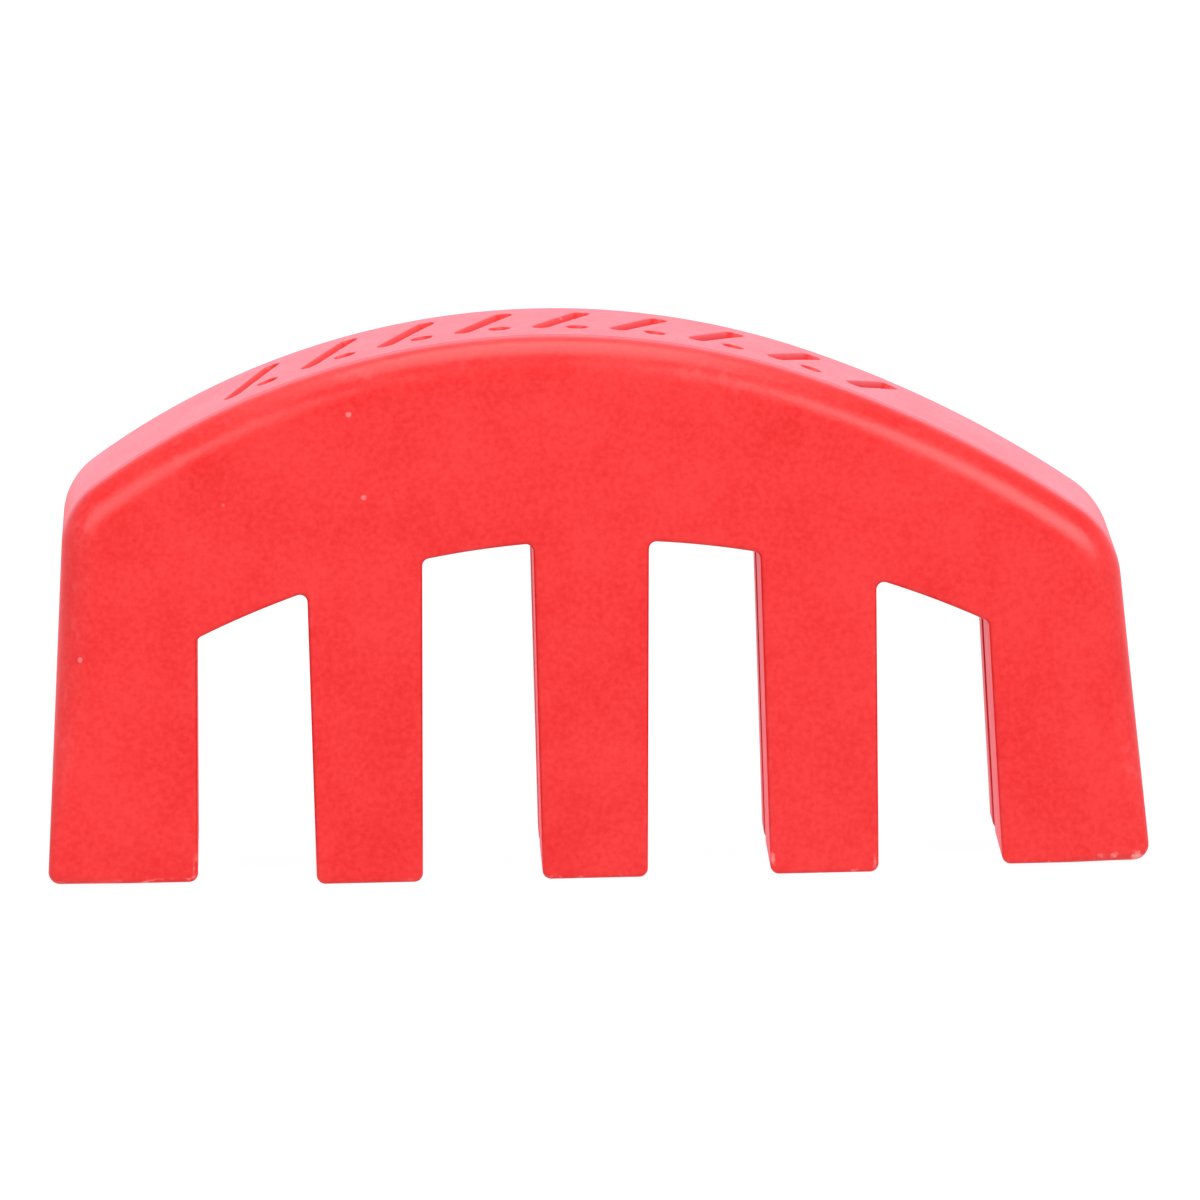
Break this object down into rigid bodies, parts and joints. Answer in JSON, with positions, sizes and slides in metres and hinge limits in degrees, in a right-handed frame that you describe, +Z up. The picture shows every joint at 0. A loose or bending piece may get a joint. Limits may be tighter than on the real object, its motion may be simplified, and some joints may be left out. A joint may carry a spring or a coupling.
{
  "type": "violin practice mute",
  "caption": "Arched rubber comb that pushes down over a violin bridge, with blunt prongs, open string notches and thin flexing legs behind a lengthwise slot.",
  "frame": {"origin": "middle of the rest plane under the prongs, halfway between the front and back faces", "axes": "+X along the comb towards the high string, +Y from the thick front prongs to the thin back legs, +Z up to the crown"},
  "size_m": [0.0552, 0.0136, 0.0273],
  "materials": {
    "rubber": "satin"
  },
  "bodies": {
    "comb": {"comb_body": "rubber"},
    "leg_1": {"clip_leg_1": "rubber"},
    "leg_2": {"clip_leg_2": "rubber"},
    "leg_3": {"clip_leg_3": "rubber"},
    "leg_4": {"clip_leg_4": "rubber"},
    "leg_5": {"clip_leg_5": "rubber"}
  },
  "joints": [
    {"name": "leg_1_flex", "type": "hinge", "parent": "comb", "child": "leg_1", "pos_m": [-0.02352, 0.0051, 0.00979], "axis": [1, 0, 0], "range_deg": [-8, 25], "stiffness_Nm_per_rad": 0.0145},
    {"name": "leg_2_flex", "type": "hinge", "parent": "comb", "child": "leg_2", "pos_m": [-0.01149, 0.0051, 0.01223], "axis": [1, 0, 0], "range_deg": [-8, 25], "stiffness_Nm_per_rad": 0.0092},
    {"name": "leg_3_flex", "type": "hinge", "parent": "comb", "child": "leg_3", "pos_m": [-0.00014, 0.0051, 0.01412], "axis": [1, 0, 0], "range_deg": [-8, 25], "stiffness_Nm_per_rad": 0.0081},
    {"name": "leg_4_flex", "type": "hinge", "parent": "comb", "child": "leg_4", "pos_m": [0.01125, 0.0051, 0.01223], "axis": [1, 0, 0], "range_deg": [-8, 25], "stiffness_Nm_per_rad": 0.0092},
    {"name": "leg_5_flex", "type": "hinge", "parent": "comb", "child": "leg_5", "pos_m": [0.02334, 0.0051, 0.00979], "axis": [1, 0, 0], "range_deg": [-8, 25], "stiffness_Nm_per_rad": 0.0145}
  ]
}
